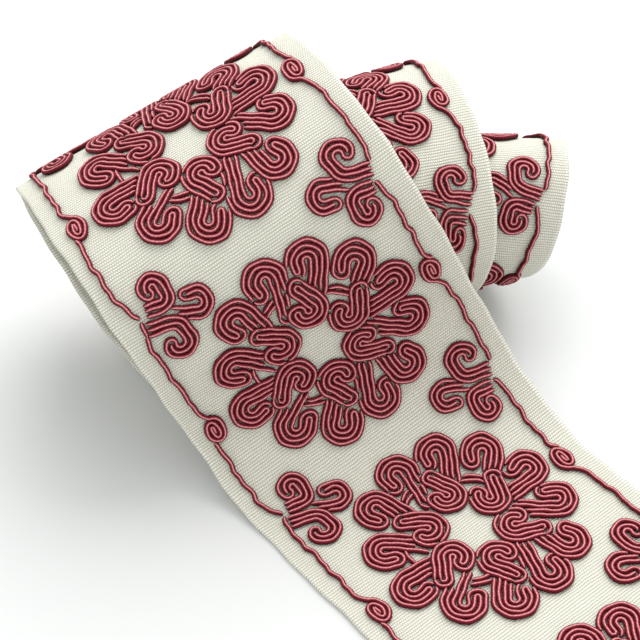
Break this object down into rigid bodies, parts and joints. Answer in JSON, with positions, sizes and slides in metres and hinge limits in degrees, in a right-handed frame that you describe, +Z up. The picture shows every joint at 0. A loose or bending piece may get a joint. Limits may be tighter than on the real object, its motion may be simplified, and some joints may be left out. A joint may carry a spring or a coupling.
{
  "type": "roll of linen braid",
  "caption": "Length of linen braid with a looped crimson cord border, loosely rolled on its side, with one end running out flat.",
  "frame": {"origin": "on the surface that the part lies on, under the middle of the whole part", "axes": "+Z up; -Y towards the flat loose end; the roll lies behind it at +Y, with its axis roughly along X and its inner turns pushed out towards +X"},
  "size_m": [0.1922, 0.3264, 0.1104],
  "materials": {
    "linen": "plain-woven natural linen, matt, with ribbed woven edges",
    "crimson_cord": "twisted crimson cotton cord, couched down in loops, matt"
  },
  "bodies": {
    "root": {"linen_tape": "linen", "wreath_1": "crimson_cord", "wreath_2": "crimson_cord", "wreath_3": "crimson_cord", "wreath_4": "crimson_cord", "wreath_5": "crimson_cord", "wreath_6": "crimson_cord", "wreath_7": "crimson_cord", "wreath_8": "crimson_cord", "wreath_9": "crimson_cord", "wreath_10": "crimson_cord", "sprig_right_1": "crimson_cord", "sprig_right_2": "crimson_cord", "sprig_right_3": "crimson_cord", "sprig_right_4": "crimson_cord", "sprig_right_5": "crimson_cord", "sprig_right_6": "crimson_cord", "sprig_right_7": "crimson_cord", "sprig_right_8": "crimson_cord", "sprig_right_9": "crimson_cord", "vine_right_1": "crimson_cord", "vine_right_2": "crimson_cord", "vine_right_3": "crimson_cord", "vine_right_4": "crimson_cord", "vine_right_5": "crimson_cord", "vine_right_6": "crimson_cord", "vine_right_7": "crimson_cord", "vine_right_8": "crimson_cord", "vine_right_9": "crimson_cord", "vine_right_10": "crimson_cord", "sprig_left_1": "crimson_cord", "sprig_left_2": "crimson_cord", "sprig_left_3": "crimson_cord", "sprig_left_4": "crimson_cord", "sprig_left_5": "crimson_cord", "sprig_left_6": "crimson_cord", "sprig_left_7": "crimson_cord", "sprig_left_8": "crimson_cord", "sprig_left_9": "crimson_cord", "vine_left_1": "crimson_cord", "vine_left_2": "crimson_cord", "vine_left_3": "crimson_cord", "vine_left_4": "crimson_cord", "vine_left_5": "crimson_cord", "vine_left_6": "crimson_cord", "vine_left_7": "crimson_cord", "vine_left_8": "crimson_cord", "vine_left_9": "crimson_cord", "vine_left_10": "crimson_cord"}
  },
  "joints": []
}
